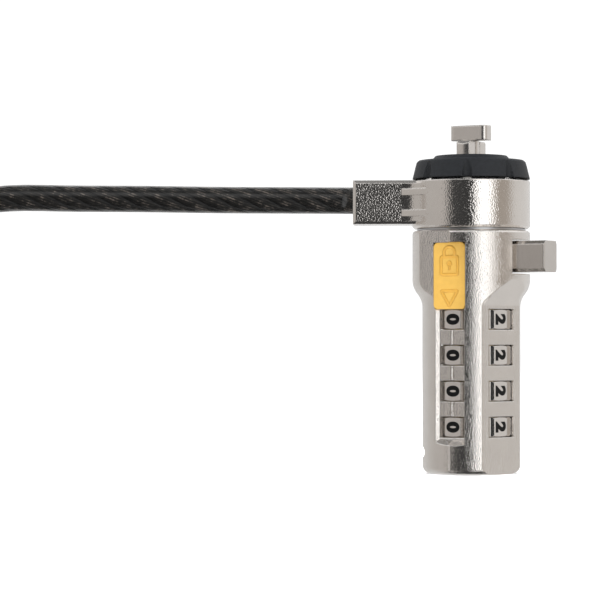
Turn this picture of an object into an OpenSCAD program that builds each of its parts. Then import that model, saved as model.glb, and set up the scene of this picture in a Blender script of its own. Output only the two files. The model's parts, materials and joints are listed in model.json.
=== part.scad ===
// Laptop cable lock: a combination barrel with a T-bar nose, a swivelling collar and a steel cable.
// It stands upright on its end cap. The origin is on the barrel's axis, on that face.
// +Z runs up the axis to the T-bar, and -X runs along the cable.
// Most parts are drawn with the number line facing -Y, then turned by body_turn.

/* [Barrel] */
// Angle of the number line from straight ahead, in degrees
body_turn = 26.5; // [20:0.5:32]
// Radius of the lower barrel
low_r = 8.4; // [8.3:0.05:8.6]
// Radius of the upper barrel and of the collar
high_r = 10.1; // [9.9:0.05:10.4]
// Height of the barrel's top face
barrel_top = 41.6; // [41.4:0.1:41.8]
// Distance of each side flat from the axis
flat_d = 7.1; // [7.05:0.05:7.2]

/* [Number wheels] */
// Height of the lowest wheel's middle
wheel_z = 8.1; // [8:0.05:8.2]
// Distance from one wheel to the next
wheel_pitch = 6.1; // [6.05:0.05:6.15]
// Distance of each number's face from the axis
face_d = 7.0; // [6.9:0.05:7]
// Width of each number's face
face_w = 3.02; // [2.8:0.02:3.1]

/* [Nose and lever] */
// Length of the T-bar's head, which fits a 7 mm slot
tbar_l = 6.9; // [6.6:0.1:6.9]
// Width of the T-bar's head, which fits a 3 mm slot
tbar_w = 2.8; // [2.6:0.1:2.9]
// Distance of the lever's end from the axis
lever_reach = 15; // [14:0.5:16]
// Width of the lever
lever_w = 5.2; // [4.8:0.1:5.4]

/* [Cable] */
// Diameter of the cable over its jacket
cable_d = 4.6; // [4.4:0.1:4.7]
// Height of the cable where it leaves the collar's block
cable_z = 46.9; // [46.6:0.1:47]

/* [Hidden] */
$fn = 96;

// Colours
nickel = [0.72, 0.70, 0.67];
steel = [0.62, 0.62, 0.63];
brass = [0.78, 0.62, 0.35];
yellow = [0.93, 0.74, 0.3];
rubber = [0.1, 0.11, 0.12];
jacket = [0.13, 0.13, 0.13];

// Barrel
foot_fillet = 1.4;
top_fillet = 0.6;
flare_from = 28.4;
flare_to = 33.2;
seam_x = 0.35;
flat_angles = [-18, 162];
flat_top = 28.7;
land_y = 8.35;

// Rib down the front of the right shell. Its points are those of its right-hand edge, as X and Z
// from straight ahead: it runs straight up, then leans out to the lever's slot.
rib_r = high_r - 0.02;
rib_from = 0.9;
rib_to = 34.1;
rib_edge = [[1.82, rib_from - 1], [1.82, 28.5], [2.1, 29.3], [3.1, 30.3], [4.8, 31.7], [6.8, 33.1],
            [8.2, rib_to]];

// Number line channel and badge
channel_d = 7.3;
channel_half = 2.3;
channel_from = 6.1;
channel_lean = 0.5;
badge_from = 28.1;
badge_to = 39.4;
badge_half = 3;
badge_face = 8.3;
ridge_h = 0.35;

// Windows and pockets
window_h = 3.55;
pocket_h = 3.5;
pocket_r = 7.25;
side_window_half = 3.05;
bore_r = 5.05;
wheel_h = 3.3;

// Wheels, hubs and core tube
groove_d = 6.45;
groove_lean = 0.5;
hub_r = 4.9;
hub_h = 4.4;
hub_bore = 3.95;
tube_r = 3.9;
tube_bore = 2.05;
lug_w = 1.4;
lug_r = 5.4;
gate_w = 1.7;
gate_r = 4.6;
bar_w = 1.4;
reset_z = 3.7;
groove_r = 1.5;

// Lever chamber and neck
chamber_from = 34.15;
chamber_to = 39.95;
chamber_r = 5.6;
slot_half = lever_w / 2 + 0.1;
neck_r = 7;
neck_flange_r = 8.2;
neck_flange_h = 1;
head_flange_r = 8.6;
collar_from = 41.95;
washer_top = 41.9;
collar_to = 50.4;
head_flange_from = 50.5;
head_flange_h = 1.1;
post_top = 57;
head_from = 57.15;
head_to = 59.7;
neck_shaft_r = 1.4;

// Lever
lever_from = 34.4;
lever_to = 39.7;

// Rubber cap
cap_top = 54.5;
lobe_top = 53.7;
lobes = 8;

// Collar's block
block_end = -20.2;
block_from = 42.7;
block_to = 50.2;
block_half = 4;
bevel = 0.5;
web_r = 4.56;
web_x = -11.9;

// Coil. The cable goes down its outer column of turns and comes up its inner one.
turn_step = 4.7;
coil_mid_r = 24;
outer_turns = 5 + 1 / 3;
coil_r = coil_mid_r + turn_step;
coil_hole_r = coil_mid_r - turn_step;
coil_h = (outer_turns + 1) * turn_step;
coil_x = -122;
coil_y = coil_mid_r + turn_step / 2;
tie_angle = 135;
tie_w = 8;
tie_wall = 0.8;

// Middle line of the cable from the collar's block to the top of the coil's outer column
route = [[block_end, 0, cable_z], [-32, 0, 47], [-44, 0, 47.1], [-56, 0, 47.3], [-68, 0, 47.4],
         [-80, 0, 47.5], [-88, 0, 46.2], [-95, 0, 42.6], [-100, 0, 37.5], [-105.5, 0, 32.2],
         [-112.5, 0, 28.6], [-122, 0, 27.4]];
// From the top of the inner column, round over the hole and into the loop's sleeve
tail = [[-122, 48, 25.9], [-113, 45.5, 26.5], [-106, 39, 27.6], [-103.5, 29.5, 29],
        [-106, 20, 30.6], [-113, 13.5, 32], [-122, 11, 32.8]];
// From the sleeve, round the loop's eye and back into the sleeve
loop = [[-134, 11, 32.8], [-139, 12, 32.7], [-144, 14.8, 32.6], [-149, 18.6, 32.5],
        [-154, 21.4, 32.4], [-158.5, 22, 32.4], [-164.5, 20.5, 32.3], [-169, 15.5, 32.2],
        [-170.8, 8.7, 32.2], [-169, 1.9, 32.2], [-164.5, -3.1, 32.3], [-158.5, -4.6, 32.4],
        [-154, -4, 32.4], [-149, -1.2, 32.5], [-144, 2.6, 32.6], [-139, 5.4, 32.7],
        [-134, 6.4, 32.8]];

function wheel_mid(k) = wheel_z + (k - 1) * wheel_pitch;

module facing() {
    rotate([0, 0, -body_turn]) children();
}

module ring(outer, inner, from, to) {
    translate([0, 0, from])
        difference() {
            cylinder(r = outer, h = to - from);
            translate([0, 0, -1]) cylinder(r = inner, h = to - from + 2);
        }
}

module rod(r, from, to) {
    translate([0, 0, from]) cylinder(r = r, h = to - from);
}

module block(low, high) {
    translate(low) cube(high - low);
}

// ---------------------------------------------------------------- barrel

// A quarter of a disc, on the side of its centre that the two signs in towards give
module quarter(at, r, towards) {
    translate(at)
        intersection() {
            circle(r = r);
            polygon([[0, 0], [r * towards[0], 0], r * towards, [0, r * towards[1]]]);
        }
}

// Half outline of the barrel: rounded foot, straight lower part, flare of two arcs, upper part
module barrel_profile() {
    gain = high_r - low_r;
    rise = flare_to - flare_from;
    bend = (gain * gain + rise * rise) / (4 * gain);
    shoulder = barrel_top - top_fillet;
    square([low_r - foot_fillet, foot_fillet]);
    quarter([low_r - foot_fillet, foot_fillet], foot_fillet, [1, -1]);
    translate([0, foot_fillet]) square([low_r, flare_from - foot_fillet]);
    difference() {
        translate([0, flare_from]) square([low_r + gain / 2, rise / 2]);
        quarter([low_r + bend, flare_from], bend, [-1, 1]);
    }
    translate([0, flare_to - rise / 2]) square([high_r - bend, rise / 2]);
    quarter([high_r - bend, flare_to], bend, [1, -1]);
    translate([0, flare_to]) square([high_r, shoulder - flare_to]);
    translate([0, shoulder]) square([high_r - top_fillet, top_fillet]);
    quarter([high_r - top_fillet, shoulder], top_fillet, [1, 1]);
}

// A side flat that fades out through the flare
module side_flat(angle) {
    rotate([0, 0, angle])
        translate([0, 6.5, 0])
            rotate([90, 0, 0])
                linear_extrude(13)
                    polygon([[flat_d, -1], [flat_d, flat_top],
                             [high_r + 0.2, flat_top + 4.8], [high_r + 2, flat_top + 4.8],
                             [high_r + 2, -1]]);
}

module side_windows(angle) {
    rotate([0, 0, angle])
        for (k = [1 : 4])
            block([6, -side_window_half, wheel_mid(k) - window_h / 2],
                  [9, side_window_half, wheel_mid(k) + window_h / 2]);
}

module front_rib() {
    intersection() {
        rod(rib_r, rib_from, rib_to);
        rotate([90, 0, body_turn])
            linear_extrude(12)
                polygon(concat([[-6, rib_to], [-6, rib_from - 1]], rib_edge));
    }
}

// The channel along the number line, its windows and the badge's pocket. The channel's lower end
// is a ramp, and fall is how far it drops for each millimetre outwards.
module front_cut(fall) {
    depth = 12 - channel_d;
    intersection() {
        translate([0, 0, channel_from - 1.3])
            linear_extrude(badge_from - channel_from + 1.4)
                polygon([[-channel_half, -channel_d], [channel_half, -channel_d],
                         [channel_half + channel_lean * depth, -12], [-channel_half - depth, -12]]);
        rotate([90, 0, 90])
            linear_extrude(20, center = true)
                polygon([[-channel_d, channel_from], [-channel_d, 40], [-12, 40],
                         [-12, channel_from - fall * depth]]);
    }
    for (k = [1 : 4])
        block([-channel_half, -9, wheel_mid(k) - window_h / 2],
              [channel_half, -6, wheel_mid(k) + window_h / 2]);
    translate([0, 0, badge_from])
        linear_extrude(badge_to - badge_from)
            polygon([[-badge_half - 0.05, -channel_d], [badge_half + 0.05, -channel_d],
                     [badge_half + 0.05, -badge_face], [badge_half + 0.85, -high_r],
                     [badge_half + 0.85, -12], [-badge_half - 0.05, -12]]);
}

// The ridge that marks the number line between the windows
module ridge() {
    for (k = [1 : 3])
        translate([0, 0, wheel_mid(k) + window_h / 2])
            linear_extrude(wheel_pitch - window_h)
                polygon([[-ridge_h, -channel_d + 0.1], [-ridge_h, -channel_d],
                         [0, -channel_d - ridge_h], [ridge_h, -channel_d],
                         [ridge_h, -channel_d + 0.1]]);
}

module inside_cut() {
    rod(6.6, -1, 1.25);
    rod(7, 1.2, 1.8);
    rod(6.2, 1.7, 4.6);
    rod(bore_r, 4.5, 33.55);
    for (k = [1 : 4])
        rod(pocket_r, wheel_mid(k) - pocket_h / 2, wheel_mid(k) + pocket_h / 2);
    rod(5.4, 33.5, 34.1);
    rod(bore_r, 34, chamber_from + 0.1);
    rod(chamber_r, chamber_from, chamber_to);
    rod(neck_flange_r, chamber_to - 0.05, chamber_to + neck_flange_h);
    rod(neck_r, chamber_to, barrel_top + 1);
    // Where the lever swings, with a bevelled edge
    translate([0, 0, chamber_from])
        linear_extrude(chamber_to - chamber_from)
            polygon([[-3.3, -slot_half], [9, -slot_half], [9 + 1.2, -slot_half - 1.75],
                     [12, -slot_half - 1.75], [12, 12], [-3.3, 12]]);
    // Slot for the detent spring, in the back
    rotate([0, 0, 72])
        block([6.6, -0.85, 5], [7.75, 0.85, 30]);
    rotate([0, 0, 180 + body_turn])
        translate([0, 0, reset_z])
            rotate([0, 90, 0]) rod(1.15, 4, 9);
    dowels();
}

module barrel(has_rib, fall) {
    difference() {
        union() {
            difference() {
                rotate_extrude() barrel_profile();
                for (angle = flat_angles) side_flat(angle);
            }
            if (has_rib) front_rib();
        }
        for (angle = flat_angles) side_windows(angle);
        front_cut(fall);
        inside_cut();
    }
}

module left_shell() {
    color(nickel) facing() {
        difference() {
            barrel(false, 1);
            block([seam_x, -12, -1], [12, 12, 45]);
            // Flat land beside and above the badge
            block([-12, -12, badge_from], [1, -land_y, 45]);
            // Shallow groove across the hole for the code reset screw
            rotate([90, 0, body_turn])
                translate([-low_r - groove_r + 0.4, reset_z, 0])
                    cylinder(r = groove_r, h = 10, center = true);
        }
        ridge();
    }
}

module right_shell() {
    color(nickel) facing()
        difference() {
            barrel(true, 0.4);
            block([-12, -12, -1], [seam_x, 12, 45]);
            // Bevel beside the seam
            translate([0, 0, -1])
                linear_extrude(46)
                    polygon([[0, -9.4], [seam_x, -9.5], [1.05, -10.15], [1.05, -12], [0, -12]]);
        }
}

module end_cap() {
    color(nickel) facing()
        difference() {
            union() {
                rod(6.6, 0, 1.2);
                rod(7, 1.2, 1.8);
            }
            rod(2.6, 0.9, 3);
        }
}

module index_badge() {
    color(yellow) facing()
        translate([0, -channel_d, (badge_from + badge_to) / 2])
            rotate([90, 0, 0])
                linear_extrude(badge_face - channel_d)
                    rounded(2 * badge_half, badge_to - badge_from, 0.8);
}

// A rectangle about its middle, with round corners
module rounded(w, h, corner) {
    square([w - 2 * corner, h], center = true);
    square([w, h - 2 * corner], center = true);
    for (x = [-1, 1], y = [-1, 1])
        translate([x * (w / 2 - corner), y * (h / 2 - corner)]) circle(r = corner);
}

module dowels() {
    for (y = [-6, 6], k = [1, 3])
        translate([-3, y, wheel_mid(k) + wheel_pitch / 2])
            rotate([0, 90, 0]) cylinder(r = 0.5, h = 6.6);
}

module dowel_pins() {
    color(steel) facing() dowels();
}

// ---------------------------------------------------------------- nose

module nose_piece() {
    color(nickel) facing() {
        difference() {
            union() {
                rod(neck_flange_r, chamber_to, chamber_to + neck_flange_h);
                rod(neck_r, chamber_to, head_flange_from + 0.1);
                rod(head_flange_r, head_flange_from, head_flange_from + head_flange_h);
            }
            rod(3, chamber_to - 1, 49);
            rod(neck_shaft_r + 0.05, 48, 60);
        }
        guard_posts();
    }
}

module guard_posts() {
    difference() {
        intersection() {
            rod(3.3, head_flange_from + 0.5, post_top);
            block([-1.25, -4, 50], [1.25, 4, 58]);
        }
        rod(neck_shaft_r + 0.05, 50, 60);
        // Chamfers on the posts' outer top edges
        for (side = [0, 180])
            rotate([0, 0, side])
                translate([-2, 3.3, post_top - 0.5])
                    rotate([45, 0, 0]) cube([4, 2, 2]);
    }
}

module rubber_cap() {
    color(rubber) facing()
        difference() {
            rotate_extrude()
                polygon([[0, head_flange_from], [high_r, head_flange_from],
                         [high_r - 0.6, lobe_top - 0.8], [high_r - 0.75, lobe_top - 0.3],
                         [high_r - 1.1, lobe_top], [6.9, lobe_top], [6.15, cap_top],
                         [0, cap_top]]);
            rod(head_flange_r, head_flange_from - 1, head_flange_from + head_flange_h);
            rod(3.3, 50, 60);
            for (k = [1 : lobes])
                rotate([0, 0, (k - 0.5) * 360 / lobes])
                    translate([high_r + 0.1, 0, 0]) rod(0.85, 50, 55);
        }
}

module collar_washer() {
    color(steel) ring(9.3, neck_r, barrel_top, washer_top);
}

module spindle_bush() {
    color(brass) ring(3, 2.45, 41, 48.9);
}

// ---------------------------------------------------------------- wheels and hubs

// One side of a wheel: its face and half of the groove on either hand. Side 0 is the front.
function wheel_side(n) =
    [for (p = [[groove_d, -face_w / 2 - groove_lean], [face_d, -face_w / 2],
               [face_d, face_w / 2], [groove_d, face_w / 2 + groove_lean]])
        let (a = 36 * n - 90)
        [p[0] * cos(a) - p[1] * sin(a), p[0] * sin(a) + p[1] * cos(a)]];

module dial_wheel(k) {
    color(nickel) facing()
        translate([0, 0, wheel_mid(k)])
            difference() {
                intersection() {
                    translate([0, 0, -wheel_h / 2])
                        linear_extrude(wheel_h)
                            polygon([for (n = [0 : 9], p = wheel_side(n)) p]);
                    rotate_extrude()
                        polygon([[0, -wheel_h / 2], [6.95, -wheel_h / 2],
                                 [7.2, -wheel_h / 2 + 0.25], [7.2, wheel_h / 2 - 0.25],
                                 [6.95, wheel_h / 2], [0, wheel_h / 2]]);
                }
                cylinder(r = hub_r + 0.05, h = 10, center = true);
                lugs(10);
            }
}

module lugs(h) {
    for (side = [0, 180])
        rotate([0, 0, side])
            translate([4.6, -lug_w / 2, -h / 2]) cube([lug_r - 4.6, lug_w, h]);
}

module code_hub(k) {
    color(brass) facing()
        translate([0, 0, wheel_mid(k)])
            difference() {
                union() {
                    cylinder(r = hub_r, h = hub_h, center = true);
                    lugs(3);
                }
                cylinder(r = hub_bore, h = 10, center = true);
                // The gate for the locking bar, and a second one half a turn away
                translate([-gate_w / 2, -gate_r, -5]) cube([gate_w, 2 * gate_r, 10]);
            }
}

module hub_spacers() {
    color(steel)
        for (k = [1 : 3])
            ring(hub_r, hub_bore, wheel_mid(k) + hub_h / 2 + 0.05,
                 wheel_mid(k + 1) - hub_h / 2 - 0.05);
}

module shift_ring() {
    color(steel) ring(hub_r, hub_bore, 4.9, wheel_mid(1) - hub_h / 2 - 0.05);
}

module core_tube() {
    color(steel) facing()
        difference() {
            union() {
                rod(tube_r, 4.7, 34.1);
                rod(5.4, 33.5, 34.1);
            }
            rod(tube_bore, 0, 40);
            block([-bar_w / 2 - 0.05, 0, 5.2], [bar_w / 2 + 0.05, 5, 31]);
        }
}

module detent_spring() {
    color(steel) facing()
        rotate([0, 0, 72]) {
            block([7.5, -0.8, 5.2], [7.75, 0.8, 29.8]);
            for (k = [1 : 4])
                translate([7.5, 0, wheel_mid(k)])
                    intersection() {
                        rotate([90, 0, 0]) cylinder(r = 0.25, h = 1.2, center = true, $fn = 32);
                        block([-1, -1, -1], [0.1, 1, 1]);
                    }
        }
}

// ---------------------------------------------------------------- spindle

// Radius of the spindle's cam at an angle. It rises as the lever turns.
function cam_r(angle) = angle < 91 ? 1.42 + 0.58 * (90 - min(angle, 90)) / 90
                                   : (angle < 108 ? 1.42 : 2);

module cam_gap(from) {
    translate([0, 0, from])
        difference() {
            cylinder(r = 2.5, h = 1.6);
            translate([0, 0, -1])
                linear_extrude(4)
                    polygon(concat([for (a = [0 : 7.5 : 90]) cam_r(a) * [cos(a), sin(a)]],
                                   [for (a = [100, 107, 108]) cam_r(a) * [cos(a), sin(a)]],
                                   [for (a = [120 : 20 : 340]) 2.45 * [cos(a), sin(a)]]));
        }
}

module spindle() {
    color(nickel) facing() {
        difference() {
            union() {
                rod(2, 3.4, 34.6);
                rod(5.2, lever_from + 0.1, lever_to - 0.1);
                rod(2.4, lever_to - 0.2, 48.8);
                rod(neck_shaft_r, 48.7, head_from + 0.1);
            }
            cam_gap(5.3);
            cam_gap(29.1);
            ring(3, 1.5, 3.9, 4.4);
            // Socket for the lever
            block([2.2, -1.8, 35.2], [6, 1.8, 38.9]);
            translate([3.9, 0, 30]) cylinder(r = 0.6, h = 12);
        }
        translate([0, 0, head_from]) linear_extrude(head_to - head_from) rounded(tbar_l, tbar_w, 0.8);
    }
}

module lever() {
    c = 0.6;
    color(nickel) facing()
        difference() {
            union() {
                block([2.3, -1.75, 35.25], [7, 1.75, 38.85]);
                intersection() {
                    translate([5.4, 0, 0])
                        rotate([90, 0, 90])
                            linear_extrude(lever_reach - 5.4)
                                polygon([[-lever_w / 2, lever_from + c],
                                         [-lever_w / 2 + c, lever_from],
                                         [lever_w / 2 - c, lever_from],
                                         [lever_w / 2, lever_from + c],
                                         [lever_w / 2, lever_to - c],
                                         [lever_w / 2 - c, lever_to],
                                         [-lever_w / 2 + c, lever_to],
                                         [-lever_w / 2, lever_to - c]]);
                    translate([0, 0, 30])
                        linear_extrude(12)
                            polygon([[0, -4], [lever_reach - 0.4, -4],
                                     [lever_reach, -lever_w / 2 + 0.4],
                                     [lever_reach, lever_w / 2 - 0.4], [lever_reach - 0.4, 4],
                                     [0, 4]]);
                }
            }
            translate([3.9, 0, 30]) cylinder(r = 0.6, h = 12);
        }
}

module lever_pin() {
    color(steel) facing() translate([3.9, 0, 0]) rod(0.6, lever_from + 0.15, lever_to - 0.15);
}

module retaining_clip() {
    color(steel) facing()
        difference() {
            ring(3.4, 1.5, 3.95, 4.35);
            block([-1.3, 0, 3], [1.3, 5, 5]);
        }
}

module locking_bar() {
    half = bar_w / 2;
    color(steel) facing() {
        block([-half, 2.15, 5.4], [half, 3.2, 30.8]);
        for (k = [1 : 4])
            block([-half, 3, wheel_mid(k) - 1.9], [half, 3.75, wheel_mid(k) + 1.9]);
        // Feet that ride on the spindle's cams
        for (z = [5.5, 29.3])
            translate([0, 0, z])
                linear_extrude(1.2)
                    polygon([[-half, 2.3], [-0.3, 1.55], [0.3, 1.55], [half, 2.3]]);
    }
}

module code_reset_screw() {
    color(steel)
        rotate([0, 0, 180])
            translate([0, 0, reset_z])
                rotate([0, 90, 0])
                    difference() {
                        rod(1.1, 5.4, 7.9);
                        block([-0.2, -2, 7.4], [0.2, 2, 9]);
                    }
}

// ---------------------------------------------------------------- collar and cable

module cable_collar() {
    f = 0.4;
    color(nickel) {
        difference() {
            union() {
                rotate_extrude()
                    polygon([[6, collar_from], [high_r - f, collar_from],
                             [high_r, collar_from + f], [high_r, collar_to - f],
                             [high_r - f, collar_to], [6, collar_to]]);
                collar_block();
                for (side = [0, 1]) mirror([0, side, 0]) collar_web();
            }
            rod(neck_r + 0.05, 40, 52);
            translate([0, 0, cable_z])
                rotate([0, -90, 0]) rod(2.6, 12, 30);
        }
    }
}

module collar_block() {
    b = bevel;
    y = block_half;
    intersection() {
        rotate([90, 0, 90])
            translate([0, 0, block_end])
                linear_extrude(-block_end - 8)
                    polygon([[-y, block_from + b], [-y + b, block_from], [y - b, block_from],
                             [y, block_from + b], [y, block_to - b], [y - b, block_to],
                             [-y + b, block_to], [-y, block_to - b]]);
        translate([0, 0, 40])
            linear_extrude(12)
                polygon([[block_end, -y + b], [block_end + b, -y], [0, -y], [0, y],
                         [block_end + b, y], [block_end, y - b]]);
    }
}

// The hollow web that blends one side of the block into the ring, with its two ribs
module collar_web() {
    translate([0, 0, block_from + bevel])
        linear_extrude(block_to - block_from - 2 * bevel)
            difference() {
                polygon([[web_x, -3], [web_x, -block_half], [-8.2, -6], [-6, -6], [-6, -3]]);
                translate([web_x, -block_half - web_r]) circle(r = web_r);
            }
    for (z = [44, 47.6])
        translate([0, 0, z])
            linear_extrude(1.1)
                polygon([[web_x, -3], [web_x, -block_half], [-7.6, -6.65], [-6, -6.65],
                         [-6, -3]]);
}

module cable_sleeve() {
    color(steel)
        translate([0, 0, cable_z])
            rotate([0, -90, 0]) rod(2.6, 12, -block_end);
}

// Direction of a route at one of its points
function along(p, i) =
    let (d = p[min(i + 1, len(p) - 1)] - p[max(i - 1, 0)])
    d / norm(d);

// Level direction square to another one
function sideways(t) = let (s = cross([0, 0, 1], t)) s / norm(s);

// A round tube along a route, with one ring of corners at each of its points
module tube(p, r, sides) {
    points = [for (i = [0 : len(p) - 1])
        let (t = along(p, i), s = sideways(t), u = cross(t, s))
        for (k = [0 : sides - 1])
            p[i] + r * cos(360 * k / sides) * s + r * sin(360 * k / sides) * u];
    walls = [for (i = [0 : len(p) - 2], k = [0 : sides - 1])
        let (a = i * sides + k, b = i * sides + (k + 1) % sides)
        each [[a, b, b + sides], [a, b + sides, a + sides]]];
    first = [for (k = [sides - 1 : -1 : 0]) k];
    last = [for (k = [0 : sides - 1]) (len(p) - 1) * sides + k];
    polyhedron(points = points, faces = concat([first], walls, [last]), convexity = 6);
}

module cable() {
    color(jacket) tube(route, cable_d / 2, 10);
}

// Outer shape of the wound cable
module cable_coil() {
    color(jacket)
        translate([coil_x, coil_y, 0])
            rotate_extrude()
                translate([coil_mid_r, coil_h / 2])
                    rounded(coil_r - coil_hole_r, coil_h, cable_d / 2);
}

module cable_tail() {
    color(jacket) tube(tail, cable_d / 2, 10);
}

module cable_loop() {
    color(jacket) tube(loop, cable_d / 2, 10);
}

// Crimped sleeve that holds the loop's two ends side by side
module loop_sleeve() {
    from = tail[len(tail) - 1];
    to = loop[len(loop) - 1];
    color(steel)
        translate([to[0], (from[1] + to[1]) / 2, from[2]])
            rotate([90, 0, 90])
                linear_extrude(from[0] - to[0]) rounded(10.6, 5.9, 2.9);
}

// Strap round the coil's turns, which presses into them underneath
module coil_tie() {
    w = coil_r - coil_hole_r;
    corner = cable_d / 2;
    color(rubber)
        translate([coil_x, coil_y, 0])
            rotate([0, 0, tie_angle])
                translate([coil_mid_r, tie_w / 2, (coil_h + tie_wall) / 2])
                    rotate([90, 0, 0])
                        linear_extrude(tie_w)
                            difference() {
                                rounded(w + 2 * tie_wall, coil_h + tie_wall, corner + tie_wall);
                                rounded(w - 0.4, coil_h - tie_wall, corner);
                            }
}

// Coil spring round the core tube, above the hubs
module hub_spring() {
    from = wheel_mid(4) + hub_h / 2 + 0.3;
    to = 33.2;
    turns = 3;
    steps = 20;
    path = [for (i = [0 : turns * steps])
        [4.45 * cos(360 * i / steps), 4.45 * sin(360 * i / steps),
         from + (to - from) * i / (turns * steps)]];
    color(steel) tube(path, 0.25, 6);
}

module dial_wheel_1() { dial_wheel(1); }
module dial_wheel_2() { dial_wheel(2); }
module dial_wheel_3() { dial_wheel(3); }
module dial_wheel_4() { dial_wheel(4); }
module code_hub_1() { code_hub(1); }
module code_hub_2() { code_hub(2); }
module code_hub_3() { code_hub(3); }
module code_hub_4() { code_hub(4); }

left_shell();
right_shell();
end_cap();
index_badge();
nose_piece();
rubber_cap();
collar_washer();
core_tube();
hub_spacers();
hub_spring();
shift_ring();
detent_spring();
spindle_bush();
dowel_pins();
dial_wheel_1();
dial_wheel_2();
dial_wheel_3();
dial_wheel_4();
code_hub_1();
code_hub_2();
code_hub_3();
code_hub_4();
spindle();
lever();
lever_pin();
retaining_clip();
locking_bar();
code_reset_screw();
cable_collar();
cable_sleeve();
cable();
cable_coil();
cable_tail();
loop_sleeve();
cable_loop();
coil_tie();
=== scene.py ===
import json
import math

import bmesh
import bpy
from mathutils import Matrix, Vector


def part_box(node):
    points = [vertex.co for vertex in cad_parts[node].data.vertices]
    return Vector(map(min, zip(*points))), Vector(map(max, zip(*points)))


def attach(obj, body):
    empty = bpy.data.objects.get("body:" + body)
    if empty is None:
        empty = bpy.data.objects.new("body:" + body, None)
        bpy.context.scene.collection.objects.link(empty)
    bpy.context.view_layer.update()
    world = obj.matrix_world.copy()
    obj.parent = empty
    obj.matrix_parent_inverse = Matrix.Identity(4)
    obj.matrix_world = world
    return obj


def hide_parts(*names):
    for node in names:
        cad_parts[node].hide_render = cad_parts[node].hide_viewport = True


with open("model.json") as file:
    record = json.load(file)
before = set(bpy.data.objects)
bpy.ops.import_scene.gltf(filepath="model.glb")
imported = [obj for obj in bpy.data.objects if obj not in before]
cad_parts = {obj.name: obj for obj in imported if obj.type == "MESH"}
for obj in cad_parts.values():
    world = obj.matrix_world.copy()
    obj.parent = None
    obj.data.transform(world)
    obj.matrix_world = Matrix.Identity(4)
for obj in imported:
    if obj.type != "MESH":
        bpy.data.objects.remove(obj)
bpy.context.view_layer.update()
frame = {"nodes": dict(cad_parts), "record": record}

# The laptop cable lock's looks. Metres, +Z up the barrel, the cable along -X.
MM = 0.001
BODY_TURN = math.radians(26.5)
AXES = Matrix.Rotation(-BODY_TURN, 4, "Z")

WHEEL_Z = [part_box(f"dial_wheel_{k}") for k in range(1, 5)]
WHEEL_MID = [(low.z + high.z) / 2 for low, high in WHEEL_Z]
FACE_D = 7.0 * MM

CABLE_D = 4.6 * MM
# One turn of the cable's strands
LAY = 25 * MM

DIGIT_WIDE = 1.9
DIGIT_TALL = 2.5
BADGE_FACE = 8.3

STRAP_HALF = 4 * MM
STRAP_THICK = 0.75 * MM


# ---------------------------------------------------------------- camera

def make_camera():
    """Stands in front of the barrel and looks a little to its left, along the cable."""
    data = bpy.data.cameras.new("camera")
    data.lens = 165.4
    data.clip_start = 0.01
    data.clip_end = 20
    camera = bpy.data.objects.new("camera", data)
    bpy.context.scene.collection.objects.link(camera)
    camera.location = (0, -0.481, 0.022)
    aim = Vector((-0.0288, 0, 0.0291))
    camera.rotation_euler = (aim - camera.location).to_track_quat("-Z", "Y").to_euler()
    bpy.context.scene.camera = camera


make_camera()


# ---------------------------------------------------------------- materials

def set_stops(ramp, stops):
    points = ramp.color_ramp.elements
    while len(points) < len(stops):
        points.new(0.5)
    for point, (at, colour) in zip(points, stops):
        point.position = at
        point.color = (*colour, 1)


class Nodes:
    """A short way to write a material's nodes."""

    def __init__(self, name):
        self.material = bpy.data.materials.new(name)
        self.material.use_nodes = True
        self.tree = self.material.node_tree
        self.shader = self.tree.nodes["Principled BSDF"]

    def add(self, kind, **values):
        """A new node. _0, _1 and so on are its inputs by number, and the rest are its settings."""
        made = self.tree.nodes.new("ShaderNode" + kind)
        for key, value in values.items():
            if key[0] == "_":
                self.feed(made.inputs[int(key[1:])], value)
            else:
                setattr(made, key, value)
        return made

    def feed(self, socket, value):
        if isinstance(value, bpy.types.NodeSocket):
            self.tree.links.new(value, socket)
        else:
            socket.default_value = value

    def set(self, **values):
        """Sets the shader's own sockets, with _ for a space in a socket's name."""
        for key, value in values.items():
            self.feed(self.shader.inputs[key.replace("_", " ")], value)

    def place(self):
        return self.add("TexCoord").outputs["Object"]

    def noise(self, scale, detail=2.0, rough=0.5, at=None):
        made = self.add("TexNoise")
        self.feed(made.inputs["Vector"], at or self.place())
        made.inputs["Scale"].default_value = scale
        made.inputs["Detail"].default_value = detail
        made.inputs["Roughness"].default_value = rough
        return made.outputs["Fac"]

    def math(self, operation, a, b=0.0, c=0.0):
        made = self.add("Math", operation=operation, _0=a, _1=b, _2=c)
        return made.outputs[0]

    def ramp(self, value, stops):
        made = self.add("ValToRGB")
        self.feed(made.inputs[0], value)
        set_stops(made, stops)
        return made.outputs[0]

    def bump(self, height, distance, strength=1.0, edge=0.0):
        """A bumped normal, over edges that look rounded if edge is a radius."""
        made = self.add("Bump")
        self.feed(made.inputs["Height"], height)
        made.inputs["Distance"].default_value = distance
        made.inputs["Strength"].default_value = strength
        if edge:
            made_edge = self.add("Bevel", samples=6)
            made_edge.inputs["Radius"].default_value = edge
            self.feed(made.inputs["Normal"], made_edge.outputs[0])
        return made.outputs[0]


def nickel(name, tone, rough, grain, edge, scale=4300):
    """Satin nickel plate over a casting: fine orange peel that shows where a reflection changes."""
    n = Nodes(name)
    fine = n.noise(scale, 0.0, 0.5)
    broad = n.noise(320, 3.0, 0.5)
    n.set(Metallic=1.0)
    n.feed(n.shader.inputs["Base Color"],
           n.ramp(broad, [(0.3, [c * 0.96 for c in tone]), (0.7, tone)]))
    n.feed(n.shader.inputs["Roughness"],
           n.math("MULTIPLY_ADD", fine, 0.08, rough - 0.04))
    n.feed(n.shader.inputs["Normal"], n.bump(fine, grain, 1.0, edge))
    return n.material


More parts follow.
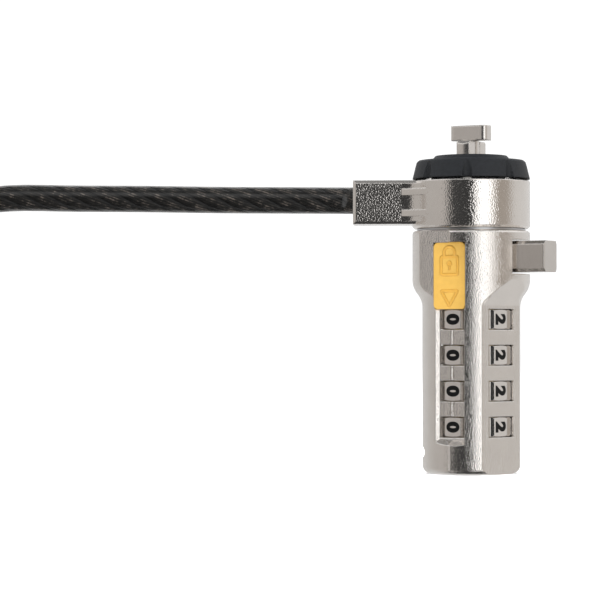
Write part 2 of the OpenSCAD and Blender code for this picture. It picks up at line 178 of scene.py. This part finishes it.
def yellow_paint(name, tone):
    n = Nodes(name)
    mottle = n.noise(900, 3.0)
    n.feed(n.shader.inputs["Base Color"],
           n.ramp(mottle, [(0.3, [c * 0.93 for c in tone]), (0.7, tone)]))
    n.set(Roughness=0.34, Specular_IOR_Level=0.35)
    n.feed(n.shader.inputs["Normal"], n.bump(n.noise(2600), 0.004 * MM, 1.0, 0.3 * MM))
    return n.material


def black_paint():
    n = Nodes("digit_black")
    n.feed(n.shader.inputs["Base Color"],
           n.ramp(n.noise(2500), [(0.3, (0.002, 0.002, 0.002)), (0.7, (0.006, 0.006, 0.006))]))
    n.set(Roughness=0.5, Specular_IOR_Level=0.2)
    n.feed(n.shader.inputs["Normal"], n.bump(n.noise(4000), 0.003 * MM))
    return n.material


def rubber(name, tone):
    n = Nodes(name)
    speck = n.noise(2200, 3.0, 0.6)
    n.feed(n.shader.inputs["Base Color"],
           n.ramp(speck, [(0.3, [c * 0.75 for c in tone]), (0.75, [c * 1.25 for c in tone])]))
    n.feed(n.shader.inputs["Roughness"], n.math("MULTIPLY_ADD", speck, 0.2, 0.48))
    n.set(Specular_IOR_Level=0.35)
    n.feed(n.shader.inputs["Normal"], n.bump(speck, 0.02 * MM, 1.0, 0.35 * MM))
    return n.material


def turned(name, tone, rough):
    """Metal turned on a lathe, for the pieces inside and between."""
    n = Nodes(name)
    stretch = n.add("Mapping")
    n.feed(stretch.inputs["Vector"], n.place())
    stretch.inputs["Scale"].default_value = (0.12, 0.12, 1)
    lines = n.noise(5200, 3.0, 0.6, stretch.outputs[0])
    n.set(Metallic=1.0)
    n.feed(n.shader.inputs["Base Color"],
           n.ramp(lines, [(0.3, [c * 0.85 for c in tone]), (0.7, tone)]))
    n.feed(n.shader.inputs["Roughness"], n.math("MULTIPLY_ADD", lines, 0.15, rough))
    n.feed(n.shader.inputs["Normal"], n.bump(lines, 0.006 * MM, 1.0, 0.1 * MM))
    return n.material


def jacketed_cable():
    """Six twisted strands of thin wires, seen through a smoke-tinted jacket with a smooth skin."""
    n = Nodes("cable_jacket")
    uv = n.add("UVMap").outputs[0]
    split = n.add("SeparateXYZ", _0=uv)
    around, ahead = split.outputs[0], split.outputs[1]
    turn = n.math("SUBTRACT", around, ahead)
    strand = n.math("FRACT", n.math("MULTIPLY", turn, 6.0))
    across = n.math("MULTIPLY_ADD", strand, 2.0, -1.0)
    crown = n.math("SQRT", n.math("SUBTRACT", 1.0, n.math("MULTIPLY", across, across)))
    wire_turn = n.math("MULTIPLY_ADD", ahead, 0.35, turn)
    wire = n.math("FRACT", n.math("MULTIPLY", wire_turn, 30.0))
    wire_across = n.math("MULTIPLY_ADD", wire, 2.0, -1.0)
    wire_crown = n.math("SQRT", n.math("SUBTRACT", 1.0,
                                       n.math("MULTIPLY", wire_across, wire_across)))
    height = n.math("MULTIPLY_ADD", wire_crown, 0.22, crown)
    dirt = n.noise(900, 3.0, 0.6)
    # Painted light: the base colour is painted shade in the grooves between strands and wires and a
    # painted highlight along their crowns, broken up at random by the dirt mottle
    painted_crown_light_and_dirt = n.math("MULTIPLY", n.math("MULTIPLY", crown, wire_crown), dirt)
    n.feed(n.shader.inputs["Base Color"],
           n.ramp(painted_crown_light_and_dirt, [(0.2, (0.008, 0.008, 0.008)), (0.45, (0.022, 0.02, 0.018)),
                          (0.6, (0.13, 0.11, 0.095))]))
    n.set(Metallic=0.6, Roughness=0.3, Coat_Weight=1.0, Coat_Roughness=0.15, Coat_IOR=1.4)
    n.feed(n.shader.inputs["Normal"], n.bump(height, 0.3 * MM, 0.8))
    return n.material


NICKEL = nickel("nickel", (0.82, 0.785, 0.75), 0.15, 0.036 * MM, 0.25 * MM)
BODY = nickel("body_nickel", (0.82, 0.785, 0.75), 0.16, 0.042 * MM, 0.25 * MM, 6500)
DARKER = nickel("lever_nickel", (0.66, 0.625, 0.59), 0.2, 0.008 * MM, 0.3 * MM)
PLAIN = nickel("plain_nickel", (0.80, 0.765, 0.73), 0.24, 0.006 * MM, 0.4 * MM)
WHEEL = nickel("wheel_nickel", (0.82, 0.79, 0.76), 0.16, 0.01 * MM, 0.15 * MM)
YELLOW = yellow_paint("badge_yellow", (0.63, 0.375, 0.075))
YELLOW_DEEP = yellow_paint("badge_deep", (0.62, 0.34, 0.055))
INK = black_paint()
RUBBER = rubber("rubber", (0.011, 0.0125, 0.015))
STRAP = rubber("strap", (0.014, 0.014, 0.014))
STEEL = turned("steel", (0.62, 0.62, 0.63), 0.25)
BRASS = turned("brass", (0.72, 0.53, 0.26), 0.25)
CABLE = jacketed_cable()

FINISHES = {"nickel": NICKEL, "wheel_nickel": WHEEL, "badge_yellow": YELLOW, "rubber": RUBBER,
            "cable_jacket": CABLE, "steel": STEEL, "brass": BRASS}
# The same plate looks smoother or coarser on some pieces, and is darker in tone on the lever
OWN_FINISHES = {"spindle": PLAIN, "nose_piece": PLAIN, "lever": DARKER, "left_shell": BODY,
                "right_shell": BODY, "end_cap": BODY}
for row in frame["record"]["subparts"]:
    node = frame["nodes"][row["node"]]
    node.data.materials.clear()
    node.data.materials.append(OWN_FINISHES.get(row["node"], FINISHES[row["material_slot"]]))


# ---------------------------------------------------------------- helpers

def add_piece(name, mesh, material, body):
    piece = bpy.data.objects.new(name, mesh)
    bpy.context.scene.collection.objects.link(piece)
    if not mesh.materials:
        mesh.materials.append(material)
    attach(piece, body)
    return piece


def smooth_line(points, steps):
    """A smooth line through all the points, with this many steps from each to the next."""
    line = []
    last = len(points) - 1
    for i in range(last):
        a, b = points[max(i - 1, 0)], points[i]
        c, d = points[i + 1], points[min(i + 2, last)]
        for j in range(steps):
            u = j / steps
            line.append(0.5 * (2 * b + (c - a) * u + (2 * a - 5 * b + 4 * c - d) * u * u
                               + (3 * b - a - 3 * c + d) * u * u * u))
    line.append(points[last])
    return line


def tube(name, line, radius, sides=20):
    """A closed round tube along a line. Its UVs count turns round it and lays along it."""
    bm = bmesh.new()
    uv = bm.loops.layers.uv.new("UVMap")
    rings = []
    ahead = []
    travelled = 0.0
    side = Vector((0, 0, 1))
    for i, p in enumerate(line):
        t = (line[min(i + 1, len(line) - 1)] - line[max(i - 1, 0)]).normalized()
        side = (side - t * side.dot(t)).normalized()
        up = t.cross(side)
        if i:
            travelled += (p - line[i - 1]).length
        ahead.append(travelled / LAY)
        rings.append([bm.verts.new(p + radius * (math.cos(2 * math.pi * k / sides) * side
                                                 + math.sin(2 * math.pi * k / sides) * up))
                      for k in range(sides)])
    for i in range(len(rings) - 1):
        for k in range(sides):
            n = (k + 1) % sides
            face = bm.faces.new((rings[i][k], rings[i][n], rings[i + 1][n], rings[i + 1][k]))
            face.smooth = True
            places = ((k, i), (k + 1, i), (k + 1, i + 1), (k, i + 1))
            for corner, (around, at) in zip(face.loops, places):
                corner[uv].uv = (around / sides, ahead[at])
    bm.faces.new(list(reversed(rings[0])))
    bm.faces.new(rings[-1])
    bmesh.ops.recalc_face_normals(bm, faces=bm.faces)
    mesh = bpy.data.meshes.new(name)
    bm.to_mesh(mesh)
    bm.free()
    return mesh


def place(points):
    return [Vector(p) * MM for p in points]


# ---------------------------------------------------------------- cable

LEAD = place([(-20.2, 0, 46.9), (-32, 0, 47), (-44, 0, 47.1), (-56, 0, 47.3), (-68, 0, 47.4),
              (-80, 0, 47.5), (-88, 0, 46.2), (-95, 0, 42.6), (-100, 0, 37.5),
              (-105.5, 0, 32.2), (-112.5, 0, 28.6)])
TAIL = place([(-113, 45.5, 26.5), (-106, 39, 27.6), (-103.5, 29.5, 29),
              (-106, 20, 30.6), (-113, 13.5, 32), (-122, 11, 32.8)])
EYE = place([(-134, 11, 32.8), (-139, 12, 32.7), (-144, 14.8, 32.6), (-149, 18.6, 32.5),
             (-154, 21.4, 32.4), (-158.5, 22, 32.4), (-164.5, 20.5, 32.3), (-169, 15.5, 32.2),
             (-170.8, 8.7, 32.2), (-169, 1.9, 32.2), (-164.5, -3.1, 32.3), (-158.5, -4.6, 32.4),
             (-154, -4, 32.4), (-149, -1.2, 32.5), (-144, 2.6, 32.6), (-139, 5.4, 32.7),
             (-134, 6.4, 32.8)])

STEP = 4.7 * MM
MID_R = 24 * MM
COIL_X = -122 * MM
COIL_Y = MID_R + STEP / 2
OUTER_TURNS = 5 + 1 / 3
CROSSING_TURNS = 1 / 6
INNER_TURNS = 5
PER_TURN = 24


def coil_line():
    """Down the outer column of turns, across underneath, and up the inner column."""
    points = []
    count = round((OUTER_TURNS + CROSSING_TURNS + INNER_TURNS) * PER_TURN)
    for i in range(count + 1):
        turn = i / PER_TURN
        crossed = min(max((turn - OUTER_TURNS) / CROSSING_TURNS, 0), 1)
        down = max(OUTER_TURNS - turn, 0)
        up = max(turn - OUTER_TURNS - CROSSING_TURNS, 0)
        r = MID_R + STEP / 2 - STEP * (3 * crossed ** 2 - 2 * crossed ** 3)
        angle = -math.pi / 2 - 2 * math.pi * turn
        points.append(Vector((COIL_X + r * math.cos(angle), COIL_Y + r * math.sin(angle),
                              STEP / 2 + STEP * (down + up))))
    return points


def make_cable():
    coil = coil_line()
    line = smooth_line(LEAD + coil[:2], 4)[:-4]
    line += smooth_line(coil, 2)
    line += smooth_line([coil[-1]] + TAIL, 4)[1:]
    cable = add_piece("steel_cable", tube("steel_cable", line, CABLE_D / 2), CABLE, "swivel")
    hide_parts("cable", "cable_coil", "cable_tail")
    eye = add_piece("cable_eye", tube("cable_eye", smooth_line(EYE, 4), CABLE_D / 2), CABLE,
                    "swivel")
    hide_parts("cable_loop")
    tie = make_tie(coil)
    # The barrel doesn't mirror the coil beside it
    for piece in (cable, eye, tie):
        piece.visible_glossy = False


def outline_round(centres, radius):
    """The tight outline round circles of one radius, as points about 6 degrees apart."""
    points = []
    for k in range(60):
        a = 2 * math.pi * k / 60
        out = Vector((math.cos(a), math.sin(a)))
        furthest = max(centres, key=lambda c: c.dot(out))
        points.append(furthest + out * radius)
    return points


def make_tie(coil):
    """A strap pulled tight round the turns at one place."""
    angle = math.radians(135)
    out = Vector((math.cos(angle), math.sin(angle), 0))
    along = Vector((-out.y, out.x, 0))
    middle = Vector((COIL_X, COIL_Y, 0))
    cut = []
    for p in coil:
        q = p - middle
        if q.dot(out) > 0 and abs(q.dot(along)) < 0.9 * STRAP_HALF:
            cut.append(Vector((q.dot(out), p.z)))
    inner = outline_round(cut, CABLE_D / 2 - 0.1 * MM)
    outer = outline_round(cut, CABLE_D / 2 + STRAP_THICK)
    bm = bmesh.new()
    loops = []
    for side, ring in ((-STRAP_HALF, inner), (STRAP_HALF, inner), (STRAP_HALF, outer),
                       (-STRAP_HALF, outer)):
        loops.append([bm.verts.new(middle + out * p.x + along * side
                                   + Vector((0, 0, max(p.y, 0.02 * MM)))) for p in ring])
    count = len(inner)
    for a, b in zip(loops, loops[1:] + loops[:1]):
        for k in range(count):
            n = (k + 1) % count
            bm.faces.new((a[k], a[n], b[n], b[k]))
    bmesh.ops.recalc_face_normals(bm, faces=bm.faces)
    mesh = bpy.data.meshes.new("coil_strap")
    bm.to_mesh(mesh)
    bm.free()
    tie = add_piece("coil_strap", mesh, STRAP, "swivel")
    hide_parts("coil_tie")
    bevel = tie.modifiers.new("edges", "BEVEL")
    bevel.width = 0.2 * MM
    bevel.segments = 2
    bevel.limit_method = "ANGLE"
    return tie


make_cable()


# ---------------------------------------------------------------- digits

def glyph(digit):
    """A bold digit as a thin mesh about its middle, in mm."""
    curve = bpy.data.curves.new("digit", "FONT")
    curve.body = str(digit)
    curve.align_x = "CENTER"
    curve.size = 3.4
    curve.offset = 0.22
    curve.resolution_u = 6
    curve.extrude = 0.03
    holder = bpy.data.objects.new("digit", curve)
    bpy.context.scene.collection.objects.link(holder)
    bpy.context.view_layer.update()
    mesh = bpy.data.meshes.new_from_object(holder)
    bpy.data.objects.remove(holder)
    xs = [v.co.x for v in mesh.vertices]
    ys = [v.co.y for v in mesh.vertices]
    width = DIGIT_WIDE if digit != 1 else 1.0
    for v in mesh.vertices:
        v.co.x = (v.co.x - (min(xs) + max(xs)) / 2) * width / (max(xs) - min(xs))
        v.co.y = (v.co.y - (min(ys) + max(ys)) / 2) * DIGIT_TALL / (max(ys) - min(ys))
    return mesh


def make_digits():
    glyphs = [glyph(d) for d in range(10)]
    for k, z in enumerate(WHEEL_MID, start=1):
        bm = bmesh.new()
        for d, mesh in enumerate(glyphs):
            before = len(bm.verts)
            bm.from_mesh(mesh)
            bm.verts.ensure_lookup_table()
            angle = math.radians(-90 + 36 * d)
            out = Vector((math.cos(angle), math.sin(angle), 0))
            up = Vector((-out.y, out.x, 0))
            right = Vector((0, 0, -1))
            for v in bm.verts[before:]:
                v.co = (out * (FACE_D + (v.co.z - 0.02) * MM) + up * v.co.y * MM
                        + right * v.co.x * MM + Vector((0, 0, z)))
        bm.transform(AXES)
        mesh = bpy.data.meshes.new(f"digits_{k}")
        bm.to_mesh(mesh)
        bm.free()
        add_piece(f"digits_{k}", mesh, INK, f"dial_{k}")


make_digits()


# ---------------------------------------------------------------- badge relief

def relief_line(bm, points, radius, tall, closed):
    """A low swelling along points (x, z) on the badge's face, in mm, that fades out sideways."""
    count = len(points)
    # Each section's corners: how far to the side in radii, and how high in heights of the swelling
    section = [(s / 4, math.cos(math.pi * s / 8) ** 2) for s in range(-4, 5)]
    section += [(1, -1), (-1, -1)]
    sides = len(section)
    rings = []
    for i, (x, z) in enumerate(points):
        before = points[i - 1] if closed or i else points[i]
        after = points[(i + 1) % count] if closed or i < count - 1 else points[i]
        t = Vector((after[0] - before[0], 0, after[1] - before[1])).normalized()
        side = t.cross(Vector((0, 1, 0)))
        rings.append([bm.verts.new((Vector((x, -BADGE_FACE, z)) + across * radius * side
                                    - Vector((0, high * tall, 0))) * MM)
                      for across, high in section])
    spans = count if closed else count - 1
    for i in range(spans):
        a, b = rings[i], rings[(i + 1) % count]
        for j in range(sides):
            n = (j + 1) % sides
            face = bm.faces.new((a[j], a[n], b[n], b[j]))
            face.smooth = j < sides - 3
    if not closed:
        bm.faces.new(rings[0])
        bm.faces.new(rings[-1])


def round_corners(corners, radius, steps=4):
    """A closed outline with each corner rounded off."""
    points = []
    count = len(corners)
    for i, corner in enumerate(corners):
        c = Vector(corner)
        a = c + (Vector(corners[i - 1]) - c).normalized() * radius
        b = c + (Vector(corners[(i + 1) % count]) - c).normalized() * radius
        for j in range(steps + 1):
            u = j / steps
            points.append(tuple(a * (1 - u) ** 2 + c * 2 * u * (1 - u) + b * u * u))
    return points


def make_relief(name, material, spread, tall):
    """A plain padlock with a keyhole, and a pointer to the number line."""
    bm = bmesh.new()
    box = round_corners([(-1.55, 33.95), (1.55, 33.95), (1.55, 37), (-1.55, 37)], 0.25)
    relief_line(bm, box, spread, tall, True)
    bow = [(-1, 37.1)] + [(math.cos(a), 37.7 + math.sin(a))
                          for a in [math.pi * (1 - i / 12) for i in range(13)]] + [(1, 37.1)]
    relief_line(bm, bow, spread, tall, False)
    keyhole = [(0.3 * math.cos(a), 35.8 + 0.3 * math.sin(a))
               for a in [2 * math.pi * i / 12 for i in range(12)]]
    relief_line(bm, keyhole, spread * 0.8, tall, True)
    relief_line(bm, [(0, 35.4), (0, 34.7)], spread * 0.8, tall, False)
    pointer = round_corners([(-1.55, 31.2), (1.55, 31.2), (0, 28.6)], 0.2)
    relief_line(bm, pointer, spread, tall, True)
    bmesh.ops.recalc_face_normals(bm, faces=bm.faces)
    bm.transform(AXES)
    mesh = bpy.data.meshes.new(name)
    bm.to_mesh(mesh)
    bm.free()
    add_piece(name, mesh, material, "housing")


make_relief("badge_relief", YELLOW_DEEP, 0.3, 0.09)


# ---------------------------------------------------------------- studio

def make_floor():
    mesh = bpy.data.meshes.new("floor")
    s = 6
    mesh.from_pydata([(-s, -s, 0), (s, -s, 0), (s, s, 0), (-s, s, 0)], [], [(0, 1, 2, 3)])
    floor = bpy.data.objects.new("floor", mesh)
    bpy.context.scene.collection.objects.link(floor)
    # The metal mirrors the panels all round it, and not the floor
    floor.visible_glossy = False
    n = Nodes("floor")
    n.set(Roughness=0.9, Specular_IOR_Level=0.0, Emission_Color=(1, 1, 1, 1),
          Emission_Strength=0.35)
    n.feed(n.shader.inputs["Base Color"],
           n.ramp(n.noise(3), [(0.3, (0.97, 0.97, 0.97)), (0.7, (0.99, 0.99, 0.99))]))
    mesh.materials.append(n.material)


def make_world():
    """Soft white all round, with the dark, white and warm panels that the metal reflects."""
    world = bpy.data.worlds.new("studio")
    bpy.context.scene.world = world
    world.use_nodes = True
    tree = world.node_tree
    background = tree.nodes["Background"]
    split = tree.nodes.new("ShaderNodeSeparateXYZ")
    tree.links.new(tree.nodes.new("ShaderNodeTexCoord").outputs["Generated"], split.inputs[0])
    turn_round = tree.nodes.new("ShaderNodeMath")
    turn_round.operation = "ARCTAN2"
    back = tree.nodes.new("ShaderNodeMath")
    back.operation = "MULTIPLY"
    back.inputs[1].default_value = -1
    tree.links.new(split.outputs[1], back.inputs[0])
    tree.links.new(split.outputs[0], turn_round.inputs[0])
    tree.links.new(back.outputs[0], turn_round.inputs[1])
    share = tree.nodes.new("ShaderNodeMath")
    share.operation = "MULTIPLY_ADD"
    share.inputs[1].default_value = 1 / (2 * math.pi)
    share.inputs[2].default_value = 0.5
    tree.links.new(turn_round.outputs[0], share.inputs[0])
    panels = tree.nodes.new("ShaderNodeValToRGB")
    tree.links.new(share.outputs[0], panels.inputs[0])
    # Degrees to the right of straight in front, and the panel's colour there. They are placed by
    # trial, so that the metal shows the photographed lock's bands.
    stops = [(-180, (0.8, 0.8, 0.8)), (-95, (0.50, 0.48, 0.46)), (-50, (0.50, 0.475, 0.455)),
             (-41, (0.06, 0.06, 0.06)), (5, (0.03, 0.03, 0.03)), (10, (1.5, 1.5, 1.5)),
             (38, (1.5, 1.5, 1.5)), (50, (0.38, 0.34, 0.30)), (78, (0.42, 0.38, 0.34)),
             (88, (0.66, 0.64, 0.62)), (180, (0.8, 0.8, 0.8))]
    set_stops(panels, [(angle / 360 + 0.5, colour) for angle, colour in stops])
    # A white band high up, and dark straight above and below
    heights = tree.nodes.new("ShaderNodeMapRange")
    heights.inputs["From Min"].default_value = -1
    tree.links.new(split.outputs[2], heights.inputs["Value"])
    share_of_panels = tree.nodes.new("ShaderNodeValToRGB")
    tree.links.new(heights.outputs[0], share_of_panels.inputs[0])
    upright = tree.nodes.new("ShaderNodeValToRGB")
    tree.links.new(heights.outputs[0], upright.inputs[0])
    set_stops(share_of_panels, [(0.05, (0, 0, 0)), (0.09, (1, 1, 1)), (0.62, (1, 1, 1)),
                                (0.78, (0, 0, 0))])
    set_stops(upright, [(0.06, (0.05, 0.05, 0.05)), (0.1, (0.09, 0.09, 0.09)),
                        (0.7, (1.1, 1.1, 1.1)), (0.88, (1.1, 1.1, 1.1)), (0.93, (0.1, 0.1, 0.1)),
                        (1, (0.3, 0.3, 0.3))])
    mixed = tree.nodes.new("ShaderNodeMix")
    mixed.data_type = "RGBA"
    tree.links.new(share_of_panels.outputs[0], mixed.inputs[0])
    tree.links.new(upright.outputs[0], mixed.inputs[6])
    tree.links.new(panels.outputs[0], mixed.inputs[7])
    tree.links.new(mixed.outputs[2], background.inputs[0])
    # What the camera sees behind the lock is white
    white = tree.nodes.new("ShaderNodeBackground")
    white.inputs[0].default_value = (1, 1, 1, 1)
    white.inputs[1].default_value = 1.1
    seen = tree.nodes.new("ShaderNodeMixShader")
    tree.links.new(tree.nodes.new("ShaderNodeLightPath").outputs["Is Camera Ray"], seen.inputs[0])
    tree.links.new(background.outputs[0], seen.inputs[1])
    tree.links.new(white.outputs[0], seen.inputs[2])
    tree.links.new(seen.outputs[0], tree.nodes["World Output"].inputs[0])


def area(name, at, aim, size, power):
    data = bpy.data.lights.new(name, "AREA")
    data.size = size
    data.energy = power
    light = bpy.data.objects.new(name, data)
    bpy.context.scene.collection.objects.link(light)
    light.location = at
    light.rotation_euler = (Vector(aim) - Vector(at)).to_track_quat("-Z", "Y").to_euler()
    light.visible_glossy = False


make_floor()
make_world()
area("overhead", (-0.05, -0.1, 1.2), (-0.05, 0, 0), 1.0, 24)
bpy.context.scene.view_settings.view_transform = "Standard"
